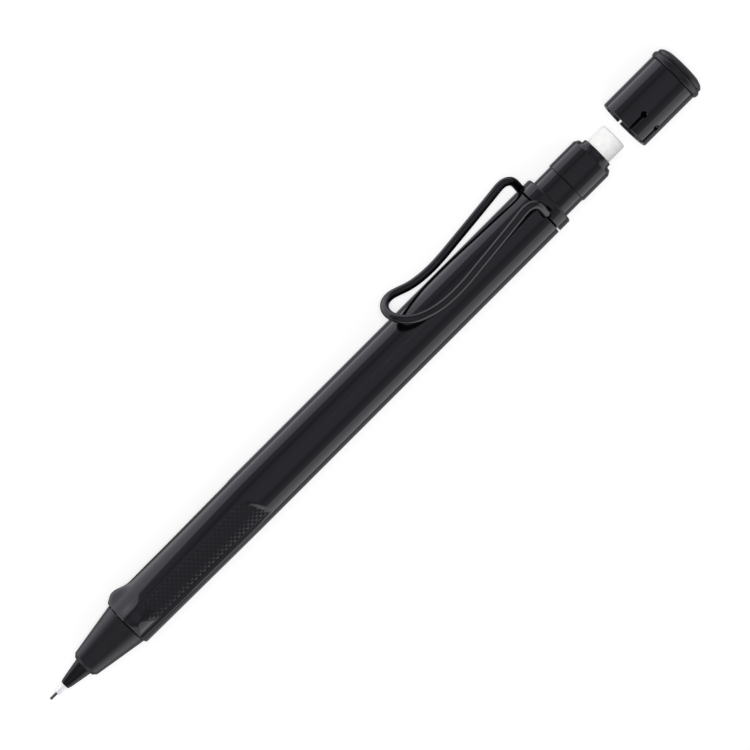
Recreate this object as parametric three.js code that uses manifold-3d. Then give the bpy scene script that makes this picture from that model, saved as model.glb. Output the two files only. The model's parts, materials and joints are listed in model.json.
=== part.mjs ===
// Mechanical pencil with a wire clip, a two-facet grip and a pull-off push cap.
// Millimetres, +Z up. The pencil lies along X: writing tip towards -X, cap towards +X.
// Every piece is made with its clip towards +Y, and the whole is then rolled to the attitude
// in which the pencil comes to rest on a table. Lengths along the pencil are measured from the
// front of the lead sleeve, and angles round it start at the clip and turn towards +Z.

import * as THREE from 'three';
import { mergeVertices } from 'three/addons/utils/BufferGeometryUtils.js';
import Module from 'manifold-3d';

const wasm = await Module();
wasm.setup();

// ---------------------------------------------------------------- driving dimensions

const BARREL_R = 5.03;            // plain stretch of the barrel, also collar and cap
const BARREL_FRONT_R = 4.76;      // the barrel tapers to this at the nose
const BARREL_FRONT_X = 17.1;
const BARREL_TAPER_END_X = 48.4;
const BARREL_REAR_X = 118.1;
const BARREL_BORE_R = 4.0;
const FRONT_SOCKET_R = 3.65;      // takes the nose cone's spigot
const FRONT_SOCKET_END_X = 24.6;
const REAR_SOCKET_R = 4.5;        // takes the collar's spigot
const REAR_SOCKET_X = 111.4;

const REST_ROLL = 1.8;            // degrees that the clip is turned up from level at rest

// The two finger facets are shallow arcs, each side of the clip. Each widens to the rear.
const FACET_EDGE = 36;            // degrees from the clip to a facet's near edge
const FACET_FAR_EDGE = [89, 101]; // its far edge, at the nose and at the rear
const FACET_ARC_R = 14;
const FACET_REAR_X = 47.4;
const CLIP_FACE_ARC_R = 9.6;      // the face on the clip's side flattens to this at the nose
const HUMP_R = 5.57;              // finger stop at the front of each facet
const HUMP_ANGLE = 51;
const HUMP_PEAK_X = 18.9;
const HUMP_REAR_X = 22.9;
const CORNER_HEIGHT = 0.3;        // the facet's far edge stands a little proud

const SLEEVE_R = 0.52;
const SLEEVE_REAR_X = 8.8;
const LEAD_R = 0.25;
const LEAD_LENGTH = 60;
const LEAD_TIP_X = -1.56;

const TIP_CONE_FRONT_X = 1.9;
const NOSE_FRONT_X = 6.57;
const NOSE_REAR_X = 17.04;

const COLLAR_FRONT_X = 118.2;
const COLLAR_REAR_X = 120.8;
const COLLAR_BORE_R = 4.1;

const NECK_R = 4.02;
const BUTTON_R = 4.24;
const BUTTON_STEP_X = 124.7;
const BUTTON_REAR_X = 132.3;
const ERASER_R = 2.6;
const ERASER_END_X = 136.2;

const CAP_RIM_X = 138.95;
const CAP_SHELL_REAR_X = 150.8;
const CAP_BORE_R = 4.33;
const CAP_BEAD_R = 5.33;
const CAP_END_X = 153.5;
const SLOT_ANGLES = [57.5, 102, 237.5, 282];
const SLOT_LENGTH = 3.45;
const SLOT_WIDTH = 0.54;
const SLOT_HOLE_R = 0.6;

const CLIP_WIRE_R = 0.785;
const CLIP_HALF_SPACING = 4.28;
const CLIP_LEG_X = 118.5;
const CLIP_RAMP_DEG = 29;
const CLIP_LOOP_START = [90.7, 6.28];
const CLIP_PIN_R = 0.42;
const CLIP_PIN_END_Y = 1.8;
const CLIP_PIN_SPACING = 4.2;

const TUBE_R = 1.9;
const TUBE_BORE_R = 1.5;
const TUBE_FRONT_X = 36.2;
const TUBE_REAR_X = 114.4;

const BARREL_SIDES = 36;
const FINE = 40;                  // sides of the outer round parts
const SMALL = 16;                 // sides of the inner round parts

const degrees = THREE.MathUtils.degToRad;

// ---------------------------------------------------------------- materials

function finish(color, roughness, metalness) {
  return new THREE.MeshStandardMaterial({ color, roughness, metalness });
}

const glossBlack = finish(0x24242a, 0.22, 0);
const matteBlack = finish(0x1b1b1d, 0.55, 0);
const blackWire = finish(0x101012, 0.3, 0.4);
const chrome = finish(0xd8d9dc, 0.12, 1);
const graphite = finish(0x3a3b3d, 0.5, 0.2);
const whiteVinyl = finish(0xf2f2f0, 0.7, 0);
const brass = finish(0xb08d4a, 0.3, 1);
const steel = finish(0x9a9ca0, 0.3, 1);
const greyPlastic = finish(0x6c6e72, 0.5, 0);
const darkRubber = finish(0x2c2c2c, 0.8, 0);

// ---------------------------------------------------------------- shape helpers

// A solid turned about the pencil's axis from [x, radius] points. A profile that isn't
// between two points of the axis is closed on itself.
function turned(profile, sides) {
  const points = profile.map(([x, r]) => new THREE.Vector2(r, x));
  if (profile[0][1] > 0) {
    points.push(points[0].clone());
  }
  const geometry = new THREE.LatheGeometry(points, sides);
  geometry.rotateZ(-Math.PI / 2);
  return geometry;
}

// Joins shared vertices and drops the faces that have no area.
function welded(geometry) {
  const bare = geometry.clone();
  bare.deleteAttribute('normal');
  bare.deleteAttribute('uv');
  const merged = mergeVertices(bare, 1e-4);
  const index = Array.from(merged.index.array);
  const kept = [];
  for (let i = 0; i < index.length; i += 3) {
    const [a, b, c] = index.slice(i, i + 3);
    if (a !== b && b !== c && c !== a) {
      kept.push(a, b, c);
    }
  }
  merged.setIndex(kept);
  return merged;
}

function signedVolume(geometry) {
  const at = geometry.attributes.position;
  const index = geometry.index.array;
  const [a, b, c] = [new THREE.Vector3(), new THREE.Vector3(), new THREE.Vector3()];
  let volume = 0;
  for (let i = 0; i < index.length; i += 3) {
    a.fromBufferAttribute(at, index[i]);
    b.fromBufferAttribute(at, index[i + 1]);
    c.fromBufferAttribute(at, index[i + 2]);
    volume += a.dot(b.cross(c)) / 6;
  }
  return volume;
}

// A closed geometry with its faces pointing out.
function closed(geometry) {
  const result = welded(geometry);
  if (signedVolume(result) < 0) {
    const index = result.index.array;
    for (let i = 0; i < index.length; i += 3) {
      [index[i + 1], index[i + 2]] = [index[i + 2], index[i + 1]];
    }
  }
  return result;
}

function manifold(geometry) {
  const solid = closed(geometry);
  const mesh = new wasm.Mesh({
    numProp: 3,
    vertProperties: new Float32Array(solid.attributes.position.array),
    triVerts: new Uint32Array(solid.index.array),
  });
  return new wasm.Manifold(mesh);
}

function fromManifold(solid) {
  const mesh = solid.getMesh();
  const geometry = new THREE.BufferGeometry();
  geometry.setAttribute('position', new THREE.BufferAttribute(mesh.vertProperties, 3));
  geometry.setIndex(Array.from(mesh.triVerts));
  return geometry;
}

function cut(geometry, cutters) {
  return fromManifold(cutters.reduce((solid, cutter) => solid.subtract(manifold(cutter)), manifold(geometry)));
}

function join(geometries) {
  const [first, ...others] = geometries.map(manifold);
  return fromManifold(others.reduce((solid, other) => solid.add(other), first));
}

function disc(radius, sides) {
  const shape = new THREE.Shape();
  for (let i = 0; i < sides; i += 1) {
    const angle = 2 * Math.PI * i / sides;
    const place = [radius * Math.cos(angle), radius * Math.sin(angle)];
    if (i === 0) {
      shape.moveTo(...place);
    } else {
      shape.lineTo(...place);
    }
  }
  shape.closePath();
  return shape;
}

function alongCurve(curve, radius, sides, steps) {
  const options = { steps, bevelEnabled: false, extrudePath: curve };
  return new THREE.ExtrudeGeometry(disc(radius, sides), options);
}

// ---------------------------------------------------------------- barrel

function smooth(low, high, value) {
  return THREE.MathUtils.smoothstep(value, low, high);
}

function plainRadius(x) {
  const share = THREE.MathUtils.clamp((x - BARREL_FRONT_X) / (BARREL_TAPER_END_X - BARREL_FRONT_X), 0, 1);
  return THREE.MathUtils.lerp(BARREL_FRONT_R, BARREL_R, share);
}

// Distance from the axis to an arc of radius `arc` whose ends lie at `radius` and `half`
// degrees each side of its middle, seen `offset` degrees from that middle.
function arcRadius(radius, half, arc, offset) {
  const halfChord = radius * Math.sin(degrees(half));
  const centre = radius * Math.cos(degrees(half)) - Math.sqrt(arc ** 2 - halfChord ** 2);
  const angle = degrees(offset);
  return centre * Math.cos(angle) + Math.sqrt(arc ** 2 - (centre * Math.sin(angle)) ** 2);
}

// The finger stop's dome, steep on the clip's side and long on the other.
function humpRadius(plain, angle) {
  const near = Math.cos(Math.PI / 2 * Math.min(1, (HUMP_ANGLE - angle) / 18)) ** 2;
  const far = Math.cos(Math.PI / 2 * Math.min(1, (angle - HUMP_ANGLE) / 43));
  return THREE.MathUtils.lerp(plain, HUMP_R, angle < HUMP_ANGLE ? near : far);
}

// Radius of the barrel's outside at an angle in degrees from the clip. It is round at the rear,
// and towards the nose its three faces flatten.
function barrelRadius(x, signedAngle) {
  const angle = Math.abs(signedAngle);
  const plain = plainRadius(x);
  const toRear = THREE.MathUtils.clamp((x - BARREL_FRONT_X) / (BARREL_TAPER_END_X - BARREL_FRONT_X), 0, 1);
  const corner = CORNER_HEIGHT * (1 - smooth(0.85, 1, toRear)) * Math.exp(-Math.max(0, angle - 90) / 18);
  const clipFace = Math.min(plain, arcRadius(plain, FACET_EDGE, CLIP_FACE_ARC_R, angle));
  const outer = angle < 60 ? THREE.MathUtils.lerp(clipFace, plain, toRear) : plain + corner;
  const farEdge = THREE.MathUtils.lerp(...FACET_FAR_EDGE, toRear);
  const middle = (FACET_EDGE + farEdge) / 2;
  const half = (farEdge - FACET_EDGE) / 2;
  const share = (angle - middle) / half;
  if (Math.abs(share) > 1.3) {
    return outer;
  }
  const facet = arcRadius(plain, half, FACET_ARC_R, angle - middle);
  const rear = FACET_REAR_X + share - 0.3 * share ** 2;
  const depth = 1 - smooth(rear - 0.3, rear + 0.9, x);
  const section = THREE.MathUtils.lerp(outer, Math.min(outer, facet), depth);
  const rise = smooth(BARREL_FRONT_X - 0.6, HUMP_PEAK_X, x) - smooth(HUMP_PEAK_X + 0.2, HUMP_REAR_X, x);
  return section + Math.max(0, rise) * Math.max(0, humpRadius(plain, angle) - section);
}

function legSocketCutters() {
  return [1, -1].flatMap((side) => {
    const mouth = new THREE.CylinderGeometry(CLIP_WIRE_R + 0.17, CLIP_WIRE_R + 0.17, 4, 16);
    mouth.translate(CLIP_LEG_X, 2.25 + 2, side * (CLIP_HALF_SPACING - 0.08));
    const hole = new THREE.CylinderGeometry(CLIP_PIN_R + 0.16, CLIP_PIN_R + 0.16, 2, 12);
    hole.translate(CLIP_LEG_X, CLIP_PIN_END_Y - 0.2 + 1, side * CLIP_PIN_SPACING);
    return [mouth, hole];
  });
}

function barrel() {
  const outside = [17.5, 18.1, 18.8, 19.4, 20.3, 21.5, 22.9, 34, 45.6, 46.6, 47.3, 48];
  const profile = [
    [BARREL_FRONT_X, FRONT_SOCKET_R],
    [BARREL_FRONT_X, BARREL_FRONT_R - 0.36],
    ...outside.map((x) => [x, plainRadius(x)]),
    [BARREL_TAPER_END_X, BARREL_R],
    [BARREL_REAR_X - 0.06, BARREL_R],
    [BARREL_REAR_X, BARREL_R - 0.06],
    [BARREL_REAR_X, REAR_SOCKET_R],
    [REAR_SOCKET_X, REAR_SOCKET_R],
    [REAR_SOCKET_X, BARREL_BORE_R],
    [FRONT_SOCKET_END_X + 0.4, BARREL_BORE_R],
    [FRONT_SOCKET_END_X, FRONT_SOCKET_R],
  ];
  const geometry = turned(profile, BARREL_SIDES);
  const at = geometry.attributes.position;
  for (let i = 0; i < at.count; i += 1) {
    const [x, y, z] = [at.getX(i), at.getY(i), at.getZ(i)];
    const radius = Math.hypot(y, z);
    if (x > BARREL_FRONT_X + 0.1 && x < BARREL_TAPER_END_X && radius > BARREL_BORE_R + 0.3) {
      const wanted = barrelRadius(x, THREE.MathUtils.radToDeg(Math.atan2(z, y)));
      at.setXYZ(i, x, y * wanted / radius, z * wanted / radius);
    }
  }
  return cut(geometry, legSocketCutters());
}

// ---------------------------------------------------------------- front end

function leadSleeve() {
  return turned([[0.12, 0.33], [0, 0.4], [0.1, SLEEVE_R], [SLEEVE_REAR_X, SLEEVE_R], [SLEEVE_REAR_X, 0.33]], SMALL);
}

function tipCone() {
  return turned([
    [TIP_CONE_FRONT_X, 0.55], [TIP_CONE_FRONT_X, 0.75], [2.1, 0.92], [2.68, 1.04], [NOSE_FRONT_X, 1.75],
    [10.9, 1.75], [10.9, 1.15], [SLEEVE_REAR_X + 0.05, 1.15], [SLEEVE_REAR_X + 0.05, 0.55],
  ], 32);
}

function leadRetainer() {
  return turned([[8.95, 0.28], [8.95, 1.1], [10.6, 1.1], [10.6, 0.6], [9.6, 0.28]], SMALL);
}

function noseCone() {
  return turned([
    [NOSE_FRONT_X, 1.8], [NOSE_FRONT_X, 2.0], [NOSE_FRONT_X + 0.12, 2.3], [NOSE_FRONT_X + 0.4, 2.58],
    [NOSE_FRONT_X + 0.75, 2.72], [NOSE_REAR_X - 0.1, 4.27], [NOSE_REAR_X, 4.2], [NOSE_REAR_X, 3.6], [24.2, 3.6],
    [24.5, 3.4], [24.5, 2.9], [16, 2.9], [16, 1.95], [11.1, 1.95], [11.1, 1.8],
  ], FINE);
}

// ---------------------------------------------------------------- mechanism

const CHUCK_FRONT_X = 15.5;
const RING_FRONT_X = 17.1;
const RING_REAR_X = 20.1;

function chuckTaper(x) {
  return 1.62 - (x - 16.2) * 0.1;
}

// Three-jaw collet: three slots split its head and the front of its stem.
function chuck() {
  const body = turned([
    [CHUCK_FRONT_X, 0.29], [CHUCK_FRONT_X, 1.45], [16.2, chuckTaper(16.2)], [20.3, chuckTaper(20.3)], [20.6, 0.95],
    [27.5, 0.95], [27.5, 1.15], [33, 1.15], [33, 0.29],
  ], SMALL);
  const slots = [0, 120, 240].map((angle) => {
    const slot = new THREE.BoxGeometry(9, 2.2, 0.26);
    slot.translate(CHUCK_FRONT_X - 1 + 4.5, 1.1, 0);
    slot.rotateX(degrees(angle));
    return slot;
  });
  return cut(body, slots);
}

function chuckRing() {
  return turned([
    [RING_FRONT_X, chuckTaper(RING_FRONT_X) + 0.04], [RING_FRONT_X, 1.85], [RING_FRONT_X + 0.15, 2.0],
    [RING_REAR_X, 2.0], [RING_REAR_X, chuckTaper(RING_FRONT_X) + 0.04],
  ], SMALL);
}

function mechanismSleeve() {
  return turned([
    [16.1, 2.08], [16.1, 2.84], [38, 2.84], [38, 2.36], [21.9, 2.36], [21.9, 1.25], [20.9, 1.25], [20.9, 2.08],
  ], 32);
}

function springSeat() {
  return turned([[21.95, 1.25], [21.95, 2.25], [22.45, 2.25], [22.45, 1.25]], SMALL);
}

class Helix extends THREE.Curve {
  constructor(front, rear, radius, turns) {
    super();
    Object.assign(this, { front, rear, radius, turns });
  }

  getPoint(t) {
    const angle = 2 * Math.PI * this.turns * t;
    const x = THREE.MathUtils.lerp(this.front, this.rear, t);
    return new THREE.Vector3(x, this.radius * Math.cos(angle), this.radius * Math.sin(angle));
  }
}

function chuckSpring() {
  const turns = 7;
  return alongCurve(new Helix(22.75, 30.2, 1.75, turns), 0.22, 6, turns * 10);
}

function chuckCoupling() {
  return turned([
    [30.5, 1.2], [30.5, 2.25], [41, 2.25], [41, 1.95], [36.1, 1.95], [36.1, 0.9], [33.1, 0.9], [33.1, 1.2],
  ], SMALL);
}

function leadTube() {
  return turned([
    [TUBE_FRONT_X, TUBE_BORE_R], [TUBE_FRONT_X, TUBE_R], [TUBE_REAR_X, TUBE_R], [TUBE_REAR_X, TUBE_BORE_R],
  ], SMALL);
}

function leadStick(front) {
  return turned([[front, 0], [front, LEAD_R - 0.04], [front + 0.06, LEAD_R], [front + LEAD_LENGTH, LEAD_R],
    [front + LEAD_LENGTH, 0]], 8);
}

function spareLead(angle) {
  const stick = leadStick(38.2);
  stick.translate(0, 0.95, 0);
  stick.rotateX(degrees(angle));
  return stick;
}

function rearBush() {
  return turned([
    [100, 2.0], [100, 3.94], [101.2, 3.94], [101.2, 2.6], [103.8, 2.6], [103.8, 3.94], [105, 3.94], [105, 2.0],
  ], 32);
}

// ---------------------------------------------------------------- rear end

function collar() {
  const body = turned([
    [112, COLLAR_BORE_R], [112, REAR_SOCKET_R - 0.04], [COLLAR_FRONT_X, REAR_SOCKET_R - 0.04],
    [COLLAR_FRONT_X, BARREL_R - 0.06], [COLLAR_FRONT_X + 0.06, BARREL_R], [COLLAR_REAR_X - 0.5, BARREL_R],
    [COLLAR_REAR_X - 0.15, BARREL_R - 0.17], [COLLAR_REAR_X, BARREL_R - 0.5], [COLLAR_REAR_X, COLLAR_BORE_R],
  ], FINE);
  return cut(body, legSocketCutters());
}

function pushButton() {
  return turned([
    [112.6, 1.95], [112.6, 3], [116.6, 3], [116.9, NECK_R], [BUTTON_STEP_X, NECK_R],
    [BUTTON_STEP_X + 0.25, BUTTON_R], [130.6, BUTTON_R], [131.4, 3.8], [131.4, 3.15], [132.15, 3.1],
    [BUTTON_REAR_X, 2.95], [BUTTON_REAR_X, 2.7], [119.8, 2.7], [119.8, 1.45], [114.5, 1.45], [114.5, 1.95],
  ], FINE);
}

function eraserHolder() {
  return turned([
    [119.9, 0.25], [119.9, 2.6], [126, 2.6], [126, 2.32], [121, 2.32], [121, 0.25],
  ], 32);
}

function cleaningNeedle() {
  return turned([[99.5, 0], [99.7, 0.2], [120.9, 0.2], [120.9, 0]], 8);
}

function eraser() {
  return turned([
    [121.1, 0], [121.1, 2.25], [126.1, 2.25], [126.1, ERASER_R], [ERASER_END_X - 0.25, ERASER_R],
    [ERASER_END_X - 0.06, ERASER_R - 0.1], [ERASER_END_X, ERASER_R - 0.3], [ERASER_END_X, 0],
  ], 32);
}

// Cap shell with four keyhole slots that make two opposite spring fingers.
function capShell() {
  const body = turned([
    [CAP_RIM_X, CAP_BORE_R + 0.1], [CAP_RIM_X, BARREL_R - 0.35], [CAP_RIM_X + 0.1, BARREL_R - 0.12],
    [CAP_RIM_X + 0.35, BARREL_R], [CAP_SHELL_REAR_X, BARREL_R], [CAP_SHELL_REAR_X, CAP_BORE_R],
    [CAP_RIM_X + 0.3, CAP_BORE_R],
  ], FINE);
  const cutters = SLOT_ANGLES.flatMap((angle) => {
    const slot = new THREE.BoxGeometry(SLOT_LENGTH + 1, 2, SLOT_WIDTH);
    slot.translate(CAP_RIM_X + (SLOT_LENGTH - 1) / 2, BARREL_R - 0.4, 0);
    const hole = new THREE.CylinderGeometry(SLOT_HOLE_R, SLOT_HOLE_R, 2, 10);
    hole.translate(CAP_RIM_X + SLOT_LENGTH, BARREL_R - 0.4, 0);
    return [slot, hole].map((cutter) => cutter.rotateX(degrees(angle)));
  });
  return cut(body, cutters);
}

function capEnd() {
  const bead = [];
  const beadX = 151.52;
  for (let angle = -60; angle <= 60; angle += 30) {
    bead.push([beadX + 0.62 * Math.sin(degrees(angle)), CAP_BEAD_R - 0.6 * (1 - Math.cos(degrees(angle)))]);
  }
  return turned([
    [149.7, 3.6], [149.7, CAP_BORE_R - 0.04], [CAP_SHELL_REAR_X + 0.04, CAP_BORE_R - 0.04],
    [CAP_SHELL_REAR_X + 0.04, 4.95], ...bead, [152.2, 4.92], [152.3, 5.0], [152.8, 4.8], [153.2, 4.35],
    [CAP_END_X - 0.06, 3.7], [CAP_END_X, 3.2], [CAP_END_X, 0], [151.2, 0], [151.2, 3.6],
  ], FINE);
}

// ---------------------------------------------------------------- clip

// Centre line of the clip's wire, as one U: leg, loop round the tip, leg.
function clipCurve() {
  const w = CLIP_HALF_SPACING;
  const side = [[CLIP_LEG_X, 2.5], [CLIP_LEG_X, 3.4]];
  const bendR = 2.1;
  const bend = [CLIP_LEG_X - bendR, 4.65];
  for (const angle of [0, 24, 48, 72, 96]) {
    side.push([bend[0] + bendR * Math.cos(degrees(angle)), bend[1] + bendR * Math.sin(degrees(angle))]);
  }
  side.push([113.95, 6.43], [111, 6.0], [104.1, 5.05], [100.7, 4.6], [98, 4.45], [95.2, 4.65], [93, 5.2]);
  const [loopX, loopY] = CLIP_LOOP_START;
  const loop = [];
  for (let angle = 0; angle <= 180; angle += 15) {
    const forward = w * Math.sin(degrees(angle));
    loop.push(new THREE.Vector3(
      loopX - forward * Math.cos(degrees(CLIP_RAMP_DEG)),
      loopY + forward * Math.sin(degrees(CLIP_RAMP_DEG)),
      w * Math.cos(degrees(angle)),
    ));
  }
  const spread = (y) => w - 0.08 * Math.max(0, 4.6 - y);
  const near = side.map(([x, y]) => new THREE.Vector3(x, y, spread(y)));
  const far = side.map(([x, y]) => new THREE.Vector3(x, y, -spread(y))).reverse();
  return new THREE.CatmullRomCurve3([...near, ...loop, ...far], false, 'centripetal');
}

function clip() {
  const wire = alongCurve(clipCurve(), CLIP_WIRE_R, 10, 84);
  const pins = [1, -1].map((side) => {
    const length = 1;
    const pin = new THREE.CylinderGeometry(CLIP_PIN_R, CLIP_PIN_R, length, 8);
    return pin.translate(CLIP_LEG_X, CLIP_PIN_END_Y + length / 2, side * CLIP_PIN_SPACING);
  });
  return join([wire, ...pins]);
}

// ---------------------------------------------------------------- assembly

const pieces = [
  ['lead', leadStick(LEAD_TIP_X), graphite],
  ['lead_sleeve', leadSleeve(), chrome],
  ['tip_cone', tipCone(), glossBlack],
  ['lead_retainer', leadRetainer(), darkRubber],
  ['nose_cone', noseCone(), matteBlack],
  ['chuck', chuck(), brass],
  ['chuck_ring', chuckRing(), steel],
  ['mechanism_sleeve', mechanismSleeve(), brass],
  ['spring_seat', springSeat(), steel],
  ['chuck_spring', chuckSpring(), steel],
  ['chuck_coupling', chuckCoupling(), greyPlastic],
  ['lead_tube', leadTube(), greyPlastic],
  ['spare_lead_1', spareLead(30), graphite],
  ['spare_lead_2', spareLead(150), graphite],
  ['spare_lead_3', spareLead(270), graphite],
  ['barrel', barrel(), glossBlack],
  ['rear_bush', rearBush(), greyPlastic],
  ['collar', collar(), glossBlack],
  ['clip', clip(), blackWire],
  ['push_button', pushButton(), glossBlack],
  ['eraser_holder', eraserHolder(), greyPlastic],
  ['cleaning_needle', cleaningNeedle(), steel],
  ['eraser', eraser(), whiteVinyl],
  ['cap_shell', capShell(), glossBlack],
  ['cap_end', capEnd(), glossBlack],
];

const pencil = new THREE.Group();
const rolled = new THREE.Group();
rolled.rotation.x = degrees(REST_ROLL);
pencil.add(rolled);
for (const [name, geometry, material] of pieces) {
  const mesh = new THREE.Mesh(closed(geometry), material);
  mesh.name = name;
  rolled.add(mesh);
}

// The origin is under the middle of the pencil, on the surface that it lies on.
const box = new THREE.Box3().setFromObject(pencil, true);
const middle = box.getCenter(new THREE.Vector3());
pencil.position.set(-middle.x, -middle.y, -box.min.z);

export default pencil;
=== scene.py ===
import json
import math

import bmesh
import bpy
import numpy as np
from mathutils import Matrix, Vector


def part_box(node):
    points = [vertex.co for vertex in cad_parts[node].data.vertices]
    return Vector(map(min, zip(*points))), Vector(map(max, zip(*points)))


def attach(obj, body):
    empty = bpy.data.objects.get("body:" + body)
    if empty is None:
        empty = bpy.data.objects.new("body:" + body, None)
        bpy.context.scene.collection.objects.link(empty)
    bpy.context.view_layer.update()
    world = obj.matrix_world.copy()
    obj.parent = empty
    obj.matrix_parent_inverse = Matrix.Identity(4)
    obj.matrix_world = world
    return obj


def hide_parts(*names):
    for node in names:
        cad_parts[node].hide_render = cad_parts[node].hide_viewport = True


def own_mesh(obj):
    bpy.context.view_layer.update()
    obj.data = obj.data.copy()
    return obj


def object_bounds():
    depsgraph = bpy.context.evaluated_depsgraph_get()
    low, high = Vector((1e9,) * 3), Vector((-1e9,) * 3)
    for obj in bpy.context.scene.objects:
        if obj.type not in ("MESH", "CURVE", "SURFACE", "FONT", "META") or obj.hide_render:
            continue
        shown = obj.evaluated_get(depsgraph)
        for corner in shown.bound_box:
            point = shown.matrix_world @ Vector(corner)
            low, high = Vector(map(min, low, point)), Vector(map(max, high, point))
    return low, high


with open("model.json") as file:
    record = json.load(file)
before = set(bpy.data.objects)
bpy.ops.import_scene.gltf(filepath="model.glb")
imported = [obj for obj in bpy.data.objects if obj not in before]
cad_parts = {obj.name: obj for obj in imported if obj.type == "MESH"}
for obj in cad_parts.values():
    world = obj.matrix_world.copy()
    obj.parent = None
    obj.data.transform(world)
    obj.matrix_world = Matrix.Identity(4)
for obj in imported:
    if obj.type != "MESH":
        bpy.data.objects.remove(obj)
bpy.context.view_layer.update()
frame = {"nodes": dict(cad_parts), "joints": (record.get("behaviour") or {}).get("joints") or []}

MM = 0.001

# The pencil's axis, and where its length is measured from: the front of the lead sleeve.
SLEEVE_LOW, SLEEVE_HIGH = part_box("lead_sleeve")
TIP = Vector((
    SLEEVE_LOW[0],
    (SLEEVE_LOW[1] + SLEEVE_HIGH[1]) / 2,
    (SLEEVE_LOW[2] + SLEEVE_HIGH[2]) / 2,
))

# The pencil is rolled about its axis as it comes to rest, which turns the clip up from level.
CLIP_HINGE = next(joint for joint in frame["joints"] if joint["name"] == "clip_flex")["axis"]
REST_ROLL = math.atan2(CLIP_HINGE[1], -CLIP_HINGE[2])
ROLL = Matrix.Rotation(REST_ROLL, 3, "X")

# Driving sizes in millimetres and degrees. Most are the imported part's. The button's end and the eraser
# stand out about 0.2 mm further here, the finger stops have a flat side, and only this mesh has a knurl.
BARREL_R = 5.03
BARREL_FRONT_R = 4.76
BARREL_FRONT_X = 17.1
BARREL_FIRST_ROW_X = 17.16
BARREL_TAPER_END_X = 48.4
BARREL_REAR_X = 118.1
BARREL_BORE_R = 4.0
FACET_EDGE = 36
FACET_FAR_EDGE = (89, 101)
FACET_ARC_R = 14
FACET_REAR_X = 47.4
CLIP_FACE_ARC_R = 9.6
HUMP_R = 5.57
HUMP_ANGLE = 51
HUMP_NEAR_REACH = 44
HUMP_BLEND_ANGLES = (12, 40)
HUMP_FLAT_END = 87
HUMP_FLAT_REACH = 22
HUMP_PEAK_X = 18.9
HUMP_REAR_X = 22.9
CORNER_HEIGHT = 0.3
CORNER_FALL = 18
CORNER_END = (0.85, 1)
KNURL_PITCH = 1.04
KNURL_GROOVE_SHARE = 0.34
KNURL_FAR_END = (0.82, 0.9)
KNURL_DEPTH = (0.06, 0.105)
NOSE_FRONT_X = 6.57
NOSE_REAR_X = 17.04
BARREL_REAR_CUT = 0.13
COLLAR_FRONT_X = 118.2
COLLAR_FRONT_CUT = 0.12
COLLAR_REAR_X = 120.8
NECK_R = 4.02
BUTTON_R = 4.24
BUTTON_STEP_X = 124.7
BUTTON_REAR_X = 132.5
ERASER_R = 2.6
ERASER_END_X = 136.45
CAP_RIM_X = 138.95
CAP_SHELL_REAR_X = 150.8
CAP_BORE_R = 4.33
CAP_BEAD_R = 5.33
CAP_END_X = 153.5
SLOT_ANGLES = (57.5, 102, 237.5, 282)
SLOT_LENGTH = 3.45
SLOT_WIDTH = 0.54
SLOT_HOLE_R = 0.6
WIRE_R = 0.785
SOCKET_GAP = 0.24
PIN_HOLE_R = 0.6
CLIP_HALF_SPACING = 4.28
CLIP_PIN_SPACING = 4.2
CLIP_LEG_X = 118.5
CLIP_BEND_R = 2.1
CLIP_BEND_Y = 4.65
CLIP_LOOP_START = (90.7, 6.28)
CLIP_RAMP = math.radians(29)
CLIP_ARM = ((113.95, 6.43), (111, 6.0), (104.1, 5.05), (100.7, 4.6), (98, 4.45), (95.2, 4.65), (93, 5.2))
SPRING_FRONT_X = 22.75
SPRING_REAR_X = 30.2
SPRING_R = 1.75
SPRING_WIRE_R = 0.22
SPRING_TURNS = 7
ROUND_SIDES = 128


# ---------------------------------------------------------------- shape helpers


def at(x, y, z):
    """A point in the row frame from millimetres along and across the pencil, its clip towards y."""
    return TIP + ROLL @ Vector((x, y, z)) * MM


def new_piece(name, points, faces, material, body, slot, *nodes):
    """A mesh piece from points in millimetres, smooth shaded, that rides on a body and stands for nodes."""
    mesh = bpy.data.meshes.new(name)
    mesh.from_pydata([at(*p) for p in points], [], faces)
    piece = bpy.data.objects.new(name, mesh)
    bpy.context.scene.collection.objects.link(piece)
    tidy_mesh(mesh)
    mesh.materials.append(material)
    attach(piece, body)
    if nodes:
        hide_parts(*nodes)
    return piece


def tidy_mesh(mesh, sharp=38):
    """Merges doubled points, turns every face outward and smooths all but the sharp edges."""
    shape = bmesh.new()
    shape.from_mesh(mesh)
    bmesh.ops.remove_doubles(shape, verts=shape.verts, dist=1e-7)
    bmesh.ops.recalc_face_normals(shape, faces=shape.faces)
    shape.to_mesh(mesh)
    shape.free()
    mesh.shade_smooth()
    mesh.set_sharp_from_angle(angle=math.radians(sharp))


def with_fillets(outline):
    """[x, r] points from corners given as (x, r) or (x, r, fillet radius). A flat stretch keeps a
    point close to each fillet, so that its shading stays flat."""
    count = len(outline)
    result = []
    for i, corner in enumerate(outline):
        point = Vector(corner[:2])
        radius = corner[2] if len(corner) > 2 else 0
        if not radius:
            result.append(tuple(point))
            continue
        before = (Vector(outline[i - 1][:2]) - point).normalized()
        after = (Vector(outline[(i + 1) % count][:2]) - point).normalized()
        half = before.angle(after) / 2
        reach = radius / math.tan(half)
        centre = point + (before + after).normalized() * radius / math.sin(half)
        start = point + before * reach
        end = point + after * reach
        result.append(tuple(start + before * 0.02))
        steps = 6
        first = start - centre
        sweep = first.angle_signed(end - centre)
        for step in range(steps + 1):
            turn = Matrix.Rotation(-sweep * step / steps, 2)
            result.append(tuple(centre + turn @ first))
        result.append(tuple(end + after * 0.02))
    return result


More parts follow.
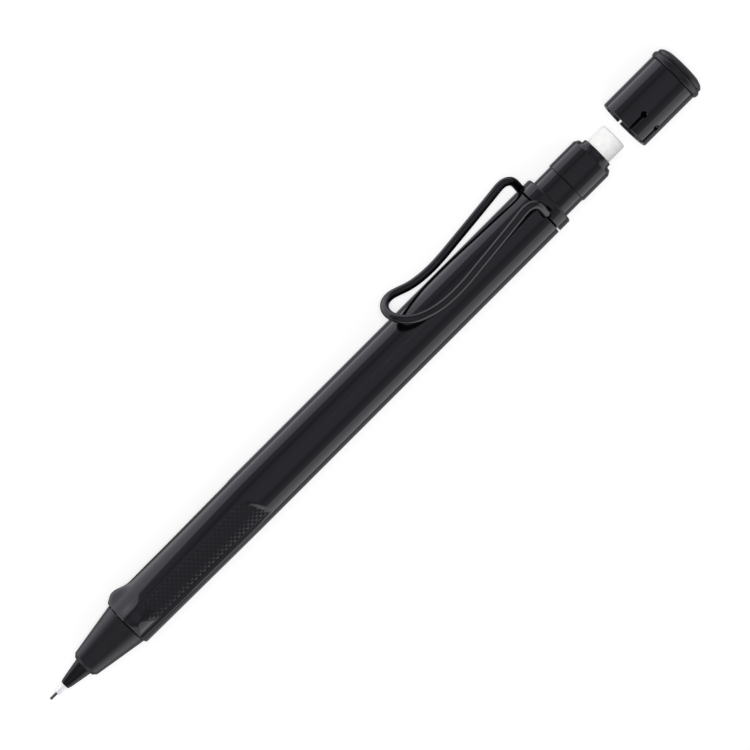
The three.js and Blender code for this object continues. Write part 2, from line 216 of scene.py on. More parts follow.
def turned_faces(outline, sides):
    """Points and faces of a solid turned about the pencil's axis from a closed outline."""
    points, rings = [], []
    for x, r in outline:
        if r < 1e-6:
            rings.append([len(points)] * sides)
            points.append((x, 0, 0))
            continue
        rings.append(list(range(len(points), len(points) + sides)))
        for i in range(sides):
            angle = 2 * math.pi * i / sides
            points.append((x, r * math.cos(angle), r * math.sin(angle)))
    faces = []
    for one, two in zip(rings, rings[1:] + rings[:1]):
        for i in range(sides):
            j = (i + 1) % sides
            corners = dict.fromkeys((one[i], one[j], two[j], two[i]))
            if len(corners) > 2:
                faces.append(tuple(corners))
    return points, faces


def turned(name, outline, material, body, slot, *nodes, sides=ROUND_SIDES):
    points, faces = turned_faces(with_fillets(outline), sides)
    return new_piece(name, points, faces, material, body, slot, *nodes)


def swept(name, path, radii, sides, material, body, slot, *nodes):
    """A round rod along a list of points, with a radius at each, closed at both ends."""
    path = [Vector(p) for p in path]
    tangents = [
        (path[min(i + 1, len(path) - 1)] - path[max(i - 1, 0)]).normalized() for i in range(len(path))
    ]
    side = tangents[0].orthogonal().normalized()
    points = []
    for i, (centre, tangent, radius) in enumerate(zip(path, tangents, radii)):
        if i:
            side = tangents[i - 1].rotation_difference(tangent) @ side
        up = tangent.cross(side)
        for k in range(sides):
            angle = 2 * math.pi * k / sides
            points.append(centre + (side * math.cos(angle) + up * math.sin(angle)) * radius)
    faces = []
    for i in range(len(path) - 1):
        for k in range(sides):
            j = (k + 1) % sides
            faces.append((i * sides + k, i * sides + j, (i + 1) * sides + j, (i + 1) * sides + k))
    faces.append(tuple(range(sides)))
    faces.append(tuple(range((len(path) - 1) * sides, len(path) * sides)))
    return new_piece(name, points, faces, material, body, slot, *nodes)


def catmull(points, steps):
    """A centripetal Catmull-Rom curve through the points."""
    points = [Vector(p) for p in points]
    ends = [points[0] * 2 - points[1]] + points + [points[-1] * 2 - points[-2]]
    result = []
    for a, b, c, d in zip(ends, ends[1:], ends[2:], ends[3:]):
        knots = [0]
        for one, two in ((a, b), (b, c), (c, d)):
            knots.append(knots[-1] + math.sqrt((two - one).length))
        for step in range(steps):
            t = knots[1] + (knots[2] - knots[1]) * step / steps

            def between(p, q, low, high, t=t):
                return p + (q - p) * (t - low) / (high - low)

            ab = between(a, b, knots[0], knots[1])
            bc = between(b, c, knots[1], knots[2])
            cd = between(c, d, knots[2], knots[3])
            abc = between(ab, bc, knots[0], knots[2])
            bcd = between(bc, cd, knots[1], knots[3])
            result.append(between(abc, bcd, knots[1], knots[2]))
    result.append(points[-1])
    return result


def cutter(name, points, faces):
    """A closed shape for cut_away, from points in millimetres."""
    mesh = bpy.data.meshes.new(name)
    mesh.from_pydata([at(*p) for p in points], [], faces)
    tidy_mesh(mesh)
    tool = bpy.data.objects.new(name, mesh)
    bpy.context.scene.collection.objects.link(tool)
    return tool


def upright_pin(x, z, low, high, radius, sides):
    """Points and faces of a rod along Y."""
    points = [
        (x + radius * math.cos(2 * math.pi * k / sides), y, z + radius * math.sin(2 * math.pi * k / sides))
        for y in (low, high)
        for k in range(sides)
    ]
    faces = [(k, (k + 1) % sides, sides + (k + 1) % sides, sides + k) for k in range(sides)]
    return points, faces + [tuple(range(sides)), tuple(range(sides, 2 * sides))]


def cut_away(piece, tools):
    """Cuts the tools out of the piece, for good, and removes them."""
    for tool in tools:
        change = piece.modifiers.new("cut", "BOOLEAN")
        change.operation = "DIFFERENCE"
        change.solver = "EXACT"
        change.object = tool
    graph = bpy.context.evaluated_depsgraph_get()
    mesh = bpy.data.meshes.new_from_object(piece.evaluated_get(graph))
    piece.modifiers.clear()
    piece.data = mesh
    tidy_mesh(mesh)
    for tool in tools:
        bpy.data.objects.remove(tool)


# ---------------------------------------------------------------- materials


class Recipe:
    """A node material in the making, with a Principled shader at its end."""

    def __init__(self, name, roughness, metallic=0.0):
        self.material = bpy.data.materials.new(name)
        self.material.use_nodes = True
        self.nodes = self.material.node_tree.nodes
        self.links = self.material.node_tree.links
        self.shader = self.nodes["Principled BSDF"]
        self.shader.inputs["Roughness"].default_value = roughness
        self.shader.inputs["Metallic"].default_value = metallic
        self.place = self.nodes.new("ShaderNodeTexCoord").outputs["Object"]
        self.normal = None

    def noise(self, size, stretch=(1, 1, 1), detail=3.0):
        """Noise whose grain is `size` millimetres, longer along an axis whose stretch is over 1."""
        scale = self.nodes.new("ShaderNodeMapping")
        scale.inputs["Scale"].default_value = [1 / (size * MM * s) for s in stretch]
        self.links.new(self.place, scale.inputs["Vector"])
        noise = self.nodes.new("ShaderNodeTexNoise")
        noise.inputs["Scale"].default_value = 1
        noise.inputs["Detail"].default_value = detail
        self.links.new(scale.outputs["Vector"], noise.inputs["Vector"])
        return noise.outputs["Fac"]

    def ranged(self, value, low, high, start=0.3, stop=0.7):
        node = self.nodes.new("ShaderNodeMapRange")
        node.inputs["From Min"].default_value = start
        node.inputs["From Max"].default_value = stop
        node.inputs["To Min"].default_value = low
        node.inputs["To Max"].default_value = high
        self.links.new(value, node.inputs["Value"])
        return node.outputs["Result"]

    def mixed(self, share, one, two):
        node = self.nodes.new("ShaderNodeMix")
        node.data_type = "RGBA"
        self.links.new(share, node.inputs["Factor"])
        for socket, colour in ((node.inputs["A"], one), (node.inputs["B"], two)):
            if isinstance(colour, tuple):
                socket.default_value = (*colour, 1)
            else:
                self.links.new(colour, socket)
        return node.outputs["Result"]

    def edges(self, start, stop):
        """0 on open surface, rising to 1 on outer edges."""
        geometry = self.nodes.new("ShaderNodeNewGeometry")
        return self.ranged(geometry.outputs["Pointiness"], 0, 1, start, stop)

    def bump(self, height, depth, strength=1.0):
        node = self.nodes.new("ShaderNodeBump")
        node.inputs["Distance"].default_value = depth * MM
        node.inputs["Strength"].default_value = strength
        self.links.new(height, node.inputs["Height"])
        if self.normal:
            self.links.new(self.normal, node.inputs["Normal"])
        self.normal = node.outputs["Normal"]
        self.links.new(self.normal, self.shader.inputs["Normal"])

    def to(self, socket, value):
        self.links.new(value, self.shader.inputs[socket])


def gloss_plastic(name, colour, roughness, shine=0.5):
    """Polished black moulding: faint drawn-out scratches, cloudy gloss and edges rubbed lighter."""
    make = Recipe(name, roughness)
    cloud = make.noise(6.0, (3, 1, 1))
    deep = tuple(c * 0.85 for c in colour)
    light = tuple(c * 1.25 for c in colour)
    body = make.mixed(make.ranged(cloud, 0, 1), deep, light)
    rubbed = tuple(c * 4 for c in colour)
    make.shader.inputs["Specular IOR Level"].default_value = shine
    make.to("Base Color", make.mixed(make.edges(0.53, 0.62), body, rubbed))
    make.to("Roughness", make.ranged(make.noise(1.6, (6, 1, 1), 5), roughness * 0.85, roughness * 1.25))
    make.bump(make.noise(0.25, (14, 1, 1), 4), 0.0004)
    make.bump(make.noise(2.5, (2, 1, 1), 1), 0.0015)
    return make.material


def matte_plastic(name, colour, roughness, grain=0.12):
    """Spark-eroded moulding: a fine even grain that breaks up the highlight."""
    make = Recipe(name, roughness)
    cloud = make.noise(3.0)
    deep = tuple(c * 0.88 for c in colour)
    light = tuple(c * 1.2 for c in colour)
    body = make.mixed(make.ranged(cloud, 0, 1), deep, light)
    make.to("Base Color", make.mixed(make.edges(0.53, 0.62), body, tuple(c * 1.9 for c in colour)))
    make.to("Roughness", make.ranged(make.noise(0.8), roughness * 0.9, roughness * 1.15))
    make.bump(make.noise(grain, detail=2), 0.006)
    return make.material


def turned_metal(name, colour, roughness, metallic=1.0):
    """Metal with fine lathe rings round the pencil's axis."""
    make = Recipe(name, roughness, metallic)
    rings = make.noise(0.03, (1, 300, 300), 2)
    cloud = make.noise(1.5)
    make.to("Base Color", make.mixed(make.ranged(cloud, 0, 1), tuple(c * 0.9 for c in colour), colour))
    make.to("Roughness", make.ranged(rings, roughness * 0.8, roughness * 1.4))
    make.bump(rings, 0.0015)
    return make.material


def drawn_wire(name, colour, roughness, metallic):
    """Wire with long draw marks, a lacquer skin and small dents in it."""
    make = Recipe(name, roughness, metallic)
    cloud = make.noise(2.2)
    light = tuple(c * 1.6 for c in colour)
    make.to("Base Color", make.mixed(make.ranged(cloud, 0, 1), colour, light))
    make.to("Roughness", make.ranged(make.noise(0.7, detail=5), roughness * 0.8, roughness * 1.35))
    make.bump(make.noise(0.5), 0.004)
    make.bump(make.noise(0.09), 0.0012)
    return make.material


def graphite(name):
    """Polymer lead: dark, finely granular, with a soft shine."""
    make = Recipe(name, 0.38, 0.25)
    speck = make.noise(0.03)
    make.to("Base Color", make.mixed(make.ranged(speck, 0, 1), (0.035, 0.036, 0.038), (0.09, 0.092, 0.097)))
    make.to("Roughness", make.ranged(make.noise(0.08), 0.3, 0.5))
    make.bump(make.noise(0.025), 0.003)
    return make.material


def vinyl(name):
    """White eraser: chalky and slightly mottled, with a fine open grain and soft light inside."""
    make = Recipe(name, 0.62)
    mottle = make.noise(0.9, detail=5)
    make.to("Base Color", make.mixed(make.ranged(mottle, 0, 1), (0.80, 0.80, 0.785), (0.89, 0.89, 0.88)))
    make.to("Roughness", make.ranged(make.noise(0.4), 0.55, 0.75))
    make.shader.inputs["Subsurface Weight"].default_value = 0.2
    make.shader.inputs["Subsurface Radius"].default_value = (0.0006, 0.0005, 0.0004)
    make.shader.inputs["Subsurface Scale"].default_value = 1.0
    make.bump(make.noise(0.07, detail=4), 0.006)
    make.bump(make.noise(0.8), 0.01)
    return make.material


def rubber(name):
    """Dark rubber: dull, with a fine grain."""
    make = Recipe(name, 0.75)
    cloud = make.noise(0.5)
    make.to("Base Color", make.mixed(make.ranged(cloud, 0, 1), (0.02, 0.02, 0.02), (0.035, 0.035, 0.036)))
    make.to("Roughness", make.ranged(make.noise(0.2), 0.7, 0.85))
    make.bump(make.noise(0.06), 0.004)
    return make.material


BARREL_BLACK = gloss_plastic("barrel_black", (0.0017, 0.0017, 0.0022), 0.085)
GLOSS_BLACK = gloss_plastic("gloss_black", (0.0016, 0.0016, 0.002), 0.095)
TIP_BLACK = gloss_plastic("tip_black", (0.0016, 0.0016, 0.002), 0.13, shine=0.3)
SATIN_BLACK = gloss_plastic("satin_black", (0.0017, 0.0017, 0.002), 0.3)
MATTE_BLACK = matte_plastic("matte_black", (0.003, 0.003, 0.0035), 0.33)
BLACK_WIRE = drawn_wire("black_wire", (0.0012, 0.0012, 0.0015), 0.09, 0.0)
CHROME = turned_metal("chrome", (0.93, 0.93, 0.94), 0.3, metallic=0.4)
STEEL = turned_metal("steel", (0.52, 0.53, 0.55), 0.26)
SPRING_STEEL = drawn_wire("spring_steel", (0.42, 0.43, 0.45), 0.25, 1.0)
BRASS = turned_metal("brass", (0.66, 0.48, 0.2), 0.24)
GRAPHITE = graphite("graphite")
VINYL = vinyl("white_vinyl")
GREY_PLASTIC = matte_plastic("grey_plastic", (0.15, 0.155, 0.165), 0.4)
RUBBER = rubber("dark_rubber")


# ---------------------------------------------------------------- barrel


def smoothstep(low, high, value):
    """0 below the first value and 1 above the second, with a soft rise between them."""
    share = np.clip((value - low) / (high - low), 0, 1)
    return share * share * (3 - 2 * share)


def plain_radius(x):
    """Radius of the round barrel, which tapers towards the nose."""
    share = np.clip((x - BARREL_FRONT_X) / (BARREL_TAPER_END_X - BARREL_FRONT_X), 0, 1)
    return BARREL_FRONT_R + (BARREL_R - BARREL_FRONT_R) * share


def arc_radius(radius, half, arc, offset):
    """Distance from the axis to an arc of radius `arc` whose ends lie at `radius` and `half` degrees
    each side of its middle, seen `offset` degrees from that middle."""
    half_chord = radius * math.sin(math.radians(half))
    centre = radius * math.cos(math.radians(half)) - math.sqrt(arc**2 - half_chord**2)
    angle = np.radians(np.clip(offset, -90, 90))
    return centre * np.cos(angle) + np.sqrt(arc**2 - (centre * np.sin(angle)) ** 2)


def smaller(one, two, blend):
    """The smaller of two radii, with the corner between them rounded over `blend` millimetres."""
    gap = np.clip(0.5 - (one - two) / (2 * blend), 0, 1)
    return two + (one - two) * gap - blend * gap * (1 - gap)


def knurl(x, across):
    """Depth, 0 to 1, of two crossing sets of V grooves that leave diamonds between them."""
    grooves = []
    for sign in (1, -1):
        turn = (x + sign * across) / KNURL_PITCH
        grooves.append(np.clip(1 - np.abs(turn - np.round(turn)) / KNURL_GROOVE_SHARE, 0, 1))
    return np.maximum(*grooves)


def hump_lift(plain, angle, section, rise):
    """Height of the finger stop over a section: a dome, cut off by a flat on the side away from the clip
    and faded out towards the clip's face."""
    near = np.cos(np.pi / 2 * np.clip((HUMP_ANGLE - angle) / HUMP_NEAR_REACH, 0, 1)) ** 2
    far = 1 - 0.2 * ((angle - HUMP_ANGLE) / 20) ** 2
    dome = plain + (HUMP_R - plain) * np.where(angle < HUMP_ANGLE, near, far)
    flat = plain + (HUMP_R - plain) * 0.8 * (HUMP_FLAT_END - angle) / HUMP_FLAT_REACH
    lift = np.minimum(rise * np.maximum(0, dome - section), np.maximum(0, flat - section))
    return lift * smoothstep(*HUMP_BLEND_ANGLES, angle)


def knurl_start(share):
    """Length at which the knurl begins behind the finger stop, for a share of the way across the facet."""
    return HUMP_PEAK_X + 1 + 2.1 * np.clip(share - 0.1, 0, 1) ** 1.5 + 0.9 * np.clip(-share - 0.2, 0, 1)


def barrel_radius(x, angles):
    """Outside of the barrel at a length and a row of angles from the clip: round at the rear, and
    flattened on three faces towards the nose, two of them knurled, with a finger stop at their front."""
    angle = np.abs(angles)
    plain = plain_radius(x)
    to_rear = float(np.clip((x - BARREL_FRONT_X) / (BARREL_TAPER_END_X - BARREL_FRONT_X), 0, 1))
    fall = np.exp(-np.maximum(0, angle - 90) / CORNER_FALL)
    corner = CORNER_HEIGHT * (1 - smoothstep(*CORNER_END, to_rear)) * fall
    clip_face = np.minimum(plain, arc_radius(plain, FACET_EDGE, CLIP_FACE_ARC_R, angle))
    outer = np.where(angle < 60, clip_face + (plain - clip_face) * to_rear, plain + corner)
    far_edge = FACET_FAR_EDGE[0] + (FACET_FAR_EDGE[1] - FACET_FAR_EDGE[0]) * to_rear
    half = (far_edge - FACET_EDGE) / 2
    middle = FACET_EDGE + half
    share = (angle - middle) / half
    facet = arc_radius(plain, half, FACET_ARC_R, angle - middle)
    facet = np.where(np.abs(share) < 1.3, facet, outer + 1)
    rear = FACET_REAR_X + share - 0.3 * share**2
    depth = 1 - smoothstep(rear - 0.3, rear + 0.9, x)
    blend = 0.03 + 0.09 * smoothstep(27, 31, x)
    section = outer + (smaller(facet, outer, blend) - outer) * depth
    start = knurl_start(share)
    inside = smoothstep(0, 0.04, outer - section) * depth * smoothstep(start, start + 0.4, x)
    inside = inside * (1 - smoothstep(*KNURL_FAR_END, share))
    across = plain * np.sin(np.radians(angle - middle))
    deep = KNURL_DEPTH[0] + (KNURL_DEPTH[1] - KNURL_DEPTH[0]) * np.clip(np.abs(share), 0, 1) ** 2
    section = section - deep * inside * knurl(x, across)
    rise = smoothstep(BARREL_FRONT_X - 0.6, HUMP_PEAK_X, x) - smoothstep(HUMP_PEAK_X + 0.2, HUMP_REAR_X, x)
    return section + hump_lift(plain, angle, section, rise)


def barrel_angles():
    """Angles round the barrel, close together across the facets and closest at their far edge."""
    half = list(np.arange(0, 30, 3.0)) + list(np.arange(30, 84, 1.0)) + list(np.arange(84, 106, 0.5))
    half += list(np.arange(106, 178, 3.0))
    return np.array(half + [180.0] + [-a for a in reversed(half[1:])])


def barrel_lengths():
    """Lengths of the rows of points on the grip, closest at the finger stops and the facets' rear ends."""
    front = np.arange(BARREL_FIRST_ROW_X, 24, 0.09)
    return [*front, *np.arange(24, 46, 0.11), *np.arange(46, 48.7, 0.08)]


def barrel_piece():
    angles = barrel_angles()
    rear = BARREL_REAR_X - BARREL_REAR_CUT
    rows = []
    for x in barrel_lengths():
        chamfer = 0.22 * max(0.0, 1 - (x - BARREL_FRONT_X) / 0.4) ** 1.6
        rows.append((x, barrel_radius(x, angles) - chamfer))
    ends = with_fillets([
        (BARREL_TAPER_END_X + 0.6, BARREL_R), (rear, BARREL_R, 0.06), (rear, 4.5),
        (111.4, 4.5), (111.4, BARREL_BORE_R), (25, BARREL_BORE_R), (24.6, 3.65),
        (BARREL_FRONT_X, 3.65), (BARREL_FRONT_X, 4.2),
    ])
    rows += [(x, np.full_like(angles, r)) for x, r in ends]
    points = [
        (x, r * math.cos(a), r * math.sin(a))
        for x, radii in rows
        for r, a in zip(radii, np.radians(angles))
    ]
    n = len(angles)
    faces = []
    for row in range(len(rows)):
        below, above = row * n, (row + 1) % len(rows) * n
        faces += [(below + k, below + (k + 1) % n, above + (k + 1) % n, above + k) for k in range(n)]
    piece = new_piece("barrel_tube", points, faces, BARREL_BLACK, "barrel_unit", "barrel_black", "barrel")
    cut_away(piece, leg_sockets())


def leg_sockets():
    """Cutters for the clip's ends: a mouth round each leg and a narrower hole round its pin."""
    tools = []
    for side in (1, -1):
        z = side * CLIP_HALF_SPACING
        mouth = upright_pin(CLIP_LEG_X + 0.08, z - side * 0.08, 2.25, 7, WIRE_R + SOCKET_GAP, 48)
        tools.append(cutter("mouth", *mouth))
        hole = upright_pin(CLIP_LEG_X, side * (CLIP_PIN_SPACING - 0.05), 1.3, 3.05, PIN_HOLE_R, 32)
        tools.append(cutter("hole", *hole))
    return tools


# ---------------------------------------------------------------- other visible pieces


def front_end():
    unit = "barrel_unit"
    turned("nose_cone_shell", [
        (NOSE_FRONT_X, 1.8), (NOSE_FRONT_X, 2.12, 0.1), (NOSE_FRONT_X + 0.6, 2.68, 0.45),
        (NOSE_REAR_X, 4.29, 0.1), (NOSE_REAR_X, 3.6, 0.04), (24.5, 3.6, 0.2), (24.5, 2.9), (16, 2.9),
        (16, 1.95), (11.1, 1.95), (11.1, 1.8),
    ], MATTE_BLACK, unit, "matte_black", "nose_cone")
    turned("tip_cone_body", [
        (1.9, 0.55), (1.9, 0.84, 0.12), (2.66, 1.06, 0.4), (NOSE_FRONT_X, 1.75), (10.9, 1.75, 0.1),
        (10.9, 1.15), (8.85, 1.15), (8.85, 0.55),
    ], TIP_BLACK, unit, "gloss_black", "tip_cone")
    turned("lead_sleeve_tube", [
        (0, 0.33, 0.03), (0, 0.52, 0.1), (8.8, 0.52, 0.04), (8.8, 0.33),
    ], CHROME, unit, "chrome", "lead_sleeve", sides=64)
    turned("lead_stick", [
        (-1.56, 0), (-1.56, 0.25, 0.06), (58.44, 0.25, 0.03), (58.44, 0),
    ], GRAPHITE, "lead_unit", "graphite", "lead", sides=48)


def rear_end():
    front = COLLAR_FRONT_X + COLLAR_FRONT_CUT
    collar = turned("collar_ring", [
        (front, 4.12), (front, BARREL_R, 0.06), (COLLAR_REAR_X, BARREL_R, 0.42),
        (COLLAR_REAR_X, 4.1, 0.08), (112, 4.1), (112, 4.46, 0.1), (COLLAR_FRONT_X - 0.22, 4.46),
    ], GLOSS_BLACK, "barrel_unit", "gloss_black", "collar")
    cut_away(collar, leg_sockets())
    turned("push_button_body", [
        (112.6, 1.95), (112.6, 3, 0.1), (116.6, 3, 0.1), (116.7, NECK_R, 0.1), (BUTTON_STEP_X, NECK_R, 0.05),
        (BUTTON_STEP_X + 0.2, BUTTON_R, 0.12), (130.85, BUTTON_R, 0.25), (131.65, 3.75, 0.12),
        (131.65, 3.12, 0.08), (BUTTON_REAR_X, 3.05, 0.16), (BUTTON_REAR_X, 2.7, 0.1), (119.8, 2.7),
        (119.8, 1.45), (114.5, 1.45), (114.5, 1.95),
    ], GLOSS_BLACK, "push_unit", "gloss_black", "push_button")
    turned("eraser_block", [
        (121.1, 0), (121.1, 2.25, 0.1), (126.1, 2.25, 0.05), (126.1, ERASER_R, 0.1),
        (ERASER_END_X, ERASER_R, 0.3), (ERASER_END_X, 0),
    ], VINYL, "push_unit", "white_vinyl", "eraser")


def cap():
    shell = turned("cap_shell_body", [
        (CAP_RIM_X, CAP_BORE_R + 0.05, 0.08), (CAP_RIM_X, BARREL_R, 0.28), (CAP_SHELL_REAR_X, BARREL_R, 0.06),
        (CAP_SHELL_REAR_X, CAP_BORE_R), (CAP_RIM_X + 0.3, CAP_BORE_R),
    ], GLOSS_BLACK, "cap_unit", "gloss_black", "cap_shell")
    cut_away(shell, keyholes())
    bead = [
        (151.52 + 0.62 * math.sin(a), CAP_BEAD_R - 0.38 * (1 - math.cos(a)))
        for a in np.radians(np.arange(-84, 85, 14))
    ]
    turned("cap_end_dome", [
        (149.7, 3.6), (149.7, CAP_BORE_R - 0.04, 0.1), (CAP_SHELL_REAR_X + 0.04, CAP_BORE_R - 0.04),
        (CAP_SHELL_REAR_X + 0.04, 4.9, 0.03), *bead, (152.2, 4.88, 0.04), (152.26, 5.0, 0.05),
        (152.7, 4.98, 0.3), (153.15, 4.5, 0.35), (CAP_END_X, 3.6, 0.5), (CAP_END_X, 1.5), (CAP_END_X, 0),
        (151.2, 0), (151.2, 3.6),
    ], SATIN_BLACK, "cap_unit", "gloss_black", "cap_end")


def keyholes():
    """Slots from the cap's rim, each with a round hole at its end."""
    tools = []
    for angle in SLOT_ANGLES:
        turn = Matrix.Rotation(math.radians(angle), 3, "X")
        box = [
            (x, y, z)
            for x in (CAP_RIM_X - 1, CAP_RIM_X + SLOT_LENGTH)
            for y in (3.8, 5.8)
            for z in (-SLOT_WIDTH / 2, SLOT_WIDTH / 2)
        ]
        sides = [(0, 1, 3, 2), (4, 6, 7, 5), (0, 4, 5, 1), (2, 3, 7, 6), (0, 2, 6, 4), (1, 5, 7, 3)]
        tools.append(cutter("slot", [turn @ Vector(p) for p in box], sides))
        points, faces = upright_pin(CAP_RIM_X + SLOT_LENGTH, 0, 3.8, 5.8, SLOT_HOLE_R, 32)
        tools.append(cutter("keyhole", [turn @ Vector(p) for p in points], faces))
    return tools


def clip():
    """One bent wire: leg, bend, arm, loop at the tip, and back. Its ends are turned down to pins."""
    side = [(CLIP_LEG_X, 2.5), (CLIP_LEG_X, 3.4)]
    for angle in np.radians([0, 24, 48, 72, 96]):
        back = CLIP_BEND_R * (1 - math.cos(angle))
        side.append((CLIP_LEG_X - back, CLIP_BEND_Y + CLIP_BEND_R * math.sin(angle)))
    side += CLIP_ARM
    w = CLIP_HALF_SPACING
    loop_x, loop_y = CLIP_LOOP_START
    loop = [
        (
            loop_x - w * math.sin(a) * math.cos(CLIP_RAMP),
            loop_y + w * math.sin(a) * math.sin(CLIP_RAMP),
            w * math.cos(a),
        )
        for a in np.radians(np.arange(0, 181, 15))
    ]
    near = [(x, y, w - 0.08 * max(0, 4.6 - y)) for x, y in side]
    far = [(x, y, -z) for x, y, z in reversed(near)]
    path = catmull(near + loop + far, 8)
    pin = [(1.8, 0.3), (1.88, 0.42), (2.27, 0.42), (2.42, 0.7)]
    pin_z = near[0][2]
    points = [(CLIP_LEG_X, y, pin_z) for y, _ in pin] + path + [(CLIP_LEG_X, y, -pin_z) for y, _ in pin[::-1]]
    ends = [r for _, r in pin]
    radii = ends + [WIRE_R] * len(path) + ends[::-1]
    swept("clip_wire", points, radii, 32, BLACK_WIRE, "clip_unit", "black_wire", "clip")


def spring():
    """The return spring, a coil of wire round the pencil's axis."""
    count = SPRING_TURNS * 36
    path = [
        (
            SPRING_FRONT_X + (SPRING_REAR_X - SPRING_FRONT_X) * i / count,
            SPRING_R * math.cos(2 * math.pi * SPRING_TURNS * i / count),
            SPRING_R * math.sin(2 * math.pi * SPRING_TURNS * i / count),
        )
        for i in range(count + 1)
    ]
    radii = [SPRING_WIRE_R] * len(path)
    coil = swept("spring_coil", path, radii, 12, SPRING_STEEL, "barrel_unit", "steel", "chuck_spring")
    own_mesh(coil)


def inner_pieces():
    """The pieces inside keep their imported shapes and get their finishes."""
    finishes = {
        BRASS: ("chuck", "mechanism_sleeve"),
        STEEL: ("chuck_ring", "spring_seat", "cleaning_needle"),
        GREY_PLASTIC: ("chuck_coupling", "lead_tube", "rear_bush", "eraser_holder"),
        GRAPHITE: ("spare_lead_1", "spare_lead_2", "spare_lead_3"),
        RUBBER: ("lead_retainer",),
    }
    for material, names in finishes.items():
        for name in names:
            for place in frame["nodes"][name].material_slots:
                place.material = material


# ---------------------------------------------------------------- studio

# What reflections see round the pencil: degrees from the clip's direction, brightness, blueness.
SOFT_BOXES = [
    (-180, 0.36, 1.1), (-79, 0.36, 1.1), (-75, 1.85, 1.06), (-66, 1.85, 1.08), (-58, 1.45, 1.13),
    (-42, 1.27, 1.15), (-28, 1.3, 1.17), (-24, 0.45, 1.16), (-10, 0.42, 1.16), (2, 0.27, 1.16),
    (17, 0.46, 1.16), (45, 0.5, 1.16), (70, 0.51, 1.16), (87, 0.3, 1.16), (103, 0.46, 1.16),
    (112, 0.5, 1.14), (117.5, 1.4, 1.1), (124, 1.25, 1.1), (137, 1.5, 1.06), (150, 1.72, 1.02),
    (159, 2.0, 1.02), (163.5, 0.38, 1.05), (180, 0.36, 1.1),
]
DIFFUSE_LIGHT = (0.36, 0.36, 0.365)
BACKDROP = (0.99, 0.99, 0.99)

# Reflections dim between these two shares of the way to the pencil's ends, down to the third number.
END_FADE = (0.3, 0.6, 0.8)

# The camera and the key light look square at the pencil, from this many degrees round from its clip.
VIEW_ANGLE = 45
CAMERA_DISTANCE = 0.85
VIEW_WIDTH = 0.12996
AIM_X = 77.9
KEY_DISTANCE = 0.95
KEY_SIZE = (0.3, 0.3)
KEY_POWER = 6
FLOOR_REACH = 3.0
FLOOR_GLOW = 0.68


def studio_world():
    """Even white light. Reflections see two long soft boxes instead, above and below the camera, and
    less light towards the pencil's ends."""
    world = bpy.data.worlds.new("studio")
    bpy.context.scene.world = world
    world.use_nodes = True
    nodes, links = world.node_tree.nodes, world.node_tree.links
    place = nodes.new("ShaderNodeTexCoord")
    level = nodes.new("ShaderNodeVectorRotate")
    level.rotation_type = "X_AXIS"
    level.inputs["Angle"].default_value = -REST_ROLL
    links.new(place.outputs["Generated"], level.inputs["Vector"])
    split = nodes.new("ShaderNodeSeparateXYZ")
    links.new(level.outputs["Vector"], split.inputs["Vector"])
    angle = nodes.new("ShaderNodeMath")
    angle.operation = "ARCTAN2"
    links.new(split.outputs["Z"], angle.inputs[0])
    links.new(split.outputs["Y"], angle.inputs[1])
    share = nodes.new("ShaderNodeMapRange")
    share.inputs["From Min"].default_value = -math.pi
    share.inputs["From Max"].default_value = math.pi
    links.new(angle.outputs[0], share.inputs["Value"])
    ramp = nodes.new("ShaderNodeValToRGB")
    links.new(share.outputs["Result"], ramp.inputs["Fac"])
    spots = ramp.color_ramp.elements
    while len(spots) < len(SOFT_BOXES):
        spots.new(0.5)
    for spot, (turn, light, blue) in zip(spots, SOFT_BOXES):
        spot.position = (turn + 180) / 360
        spot.color = (light, light, light * blue, 1)
    endwise = nodes.new("ShaderNodeMath")
    endwise.operation = "ABSOLUTE"
    links.new(split.outputs["X"], endwise.inputs[0])
    fade = nodes.new("ShaderNodeMapRange")
    fade.inputs["From Min"].default_value = END_FADE[0]
    fade.inputs["From Max"].default_value = END_FADE[1]
    fade.inputs["To Min"].default_value = 1
    fade.inputs["To Max"].default_value = END_FADE[2]
    links.new(endwise.outputs[0], fade.inputs["Value"])
    dimmed = nodes.new("ShaderNodeVectorMath")
    dimmed.operation = "SCALE"
    links.new(ramp.outputs["Color"], dimmed.inputs[0])
    links.new(fade.outputs["Result"], dimmed.inputs["Scale"])
    rays = nodes.new("ShaderNodeLightPath")
    mix = nodes.new("ShaderNodeMix")
    mix.data_type = "RGBA"
    links.new(rays.outputs["Is Glossy Ray"], mix.inputs["Factor"])
    links.new(dimmed.outputs["Vector"], mix.inputs["B"])
    seen = nodes.new("ShaderNodeMix")
    seen.data_type = "RGBA"
    links.new(rays.outputs["Is Camera Ray"], seen.inputs["Factor"])
    seen.inputs["A"].default_value = (*DIFFUSE_LIGHT, 1)
    seen.inputs["B"].default_value = (*BACKDROP, 1)
    links.new(seen.outputs["Result"], mix.inputs["A"])
    links.new(mix.outputs["Result"], nodes["Background"].inputs["Color"])


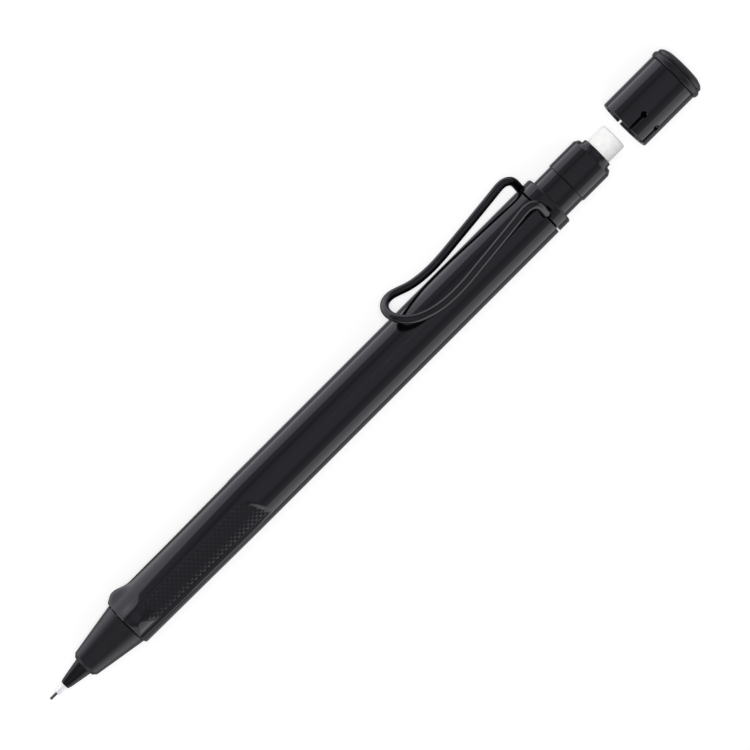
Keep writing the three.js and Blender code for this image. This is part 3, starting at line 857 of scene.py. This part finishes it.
def area_light(name, direction, distance, size, power):
    """A soft light that doesn't show in reflections: the world's soft boxes do that."""
    lamp = bpy.data.lights.new(name, "AREA")
    lamp.shape = "RECTANGLE"
    lamp.size, lamp.size_y = size
    lamp.energy = power
    light = bpy.data.objects.new(name, lamp)
    light.location = Vector(direction).normalized() * distance
    light.rotation_euler = Vector(direction).to_track_quat("Z", "Y").to_euler()
    light.visible_glossy = False
    bpy.context.scene.collection.objects.link(light)


def studio_floor():
    """A pale light table just under the pencil."""
    mesh = bpy.data.meshes.new("floor")
    reach = FLOOR_REACH
    corners = [(-reach, -reach, 0), (reach, -reach, 0), (reach, reach, 0), (-reach, reach, 0)]
    mesh.from_pydata(corners, [], [(0, 1, 2, 3)])
    floor = bpy.data.objects.new("floor", mesh)
    floor.location.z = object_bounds()[0][2] - 0.00002
    make = Recipe("light_table", 0.9)
    make.to("Base Color", make.mixed(make.noise(60), (0.44, 0.44, 0.44), (0.46, 0.46, 0.46)))
    make.shader.inputs["Specular IOR Level"].default_value = 0.2
    make.shader.inputs["Emission Color"].default_value = (1, 1, 1, 1)
    make.shader.inputs["Emission Strength"].default_value = FLOOR_GLOW
    mesh.materials.append(make.material)
    floor.visible_glossy = False
    bpy.context.scene.collection.objects.link(floor)


def view_direction():
    """From the pencil towards the camera."""
    angle = math.radians(VIEW_ANGLE)
    return ROLL @ Vector((0, math.cos(angle), math.sin(angle)))


def camera():
    """Rolled so that the pencil crosses the picture from lower left to upper right."""
    back = view_direction()
    along = Vector((1, 0, 0))
    across = back.cross(along)
    right = (along - across).normalized()
    up = (along + across).normalized()
    data = bpy.data.cameras.new("camera")
    data.sensor_width = 36
    data.lens = data.sensor_width * CAMERA_DISTANCE / VIEW_WIDTH
    data.clip_start = 0.01
    eye = bpy.data.objects.new("camera", data)
    target = at(AIM_X, 0, 0) - across * 0.000035
    turn = Matrix((right, up, back)).transposed().to_4x4()
    eye.matrix_world = Matrix.Translation(target + back * CAMERA_DISTANCE) @ turn
    bpy.context.scene.collection.objects.link(eye)
    bpy.context.scene.camera = eye


camera()
barrel_piece()
front_end()
rear_end()
cap()
clip()
spring()
inner_pieces()
studio_floor()
studio_world()
area_light("key", view_direction(), KEY_DISTANCE, KEY_SIZE, KEY_POWER)
bpy.context.scene.view_settings.view_transform = "Standard"
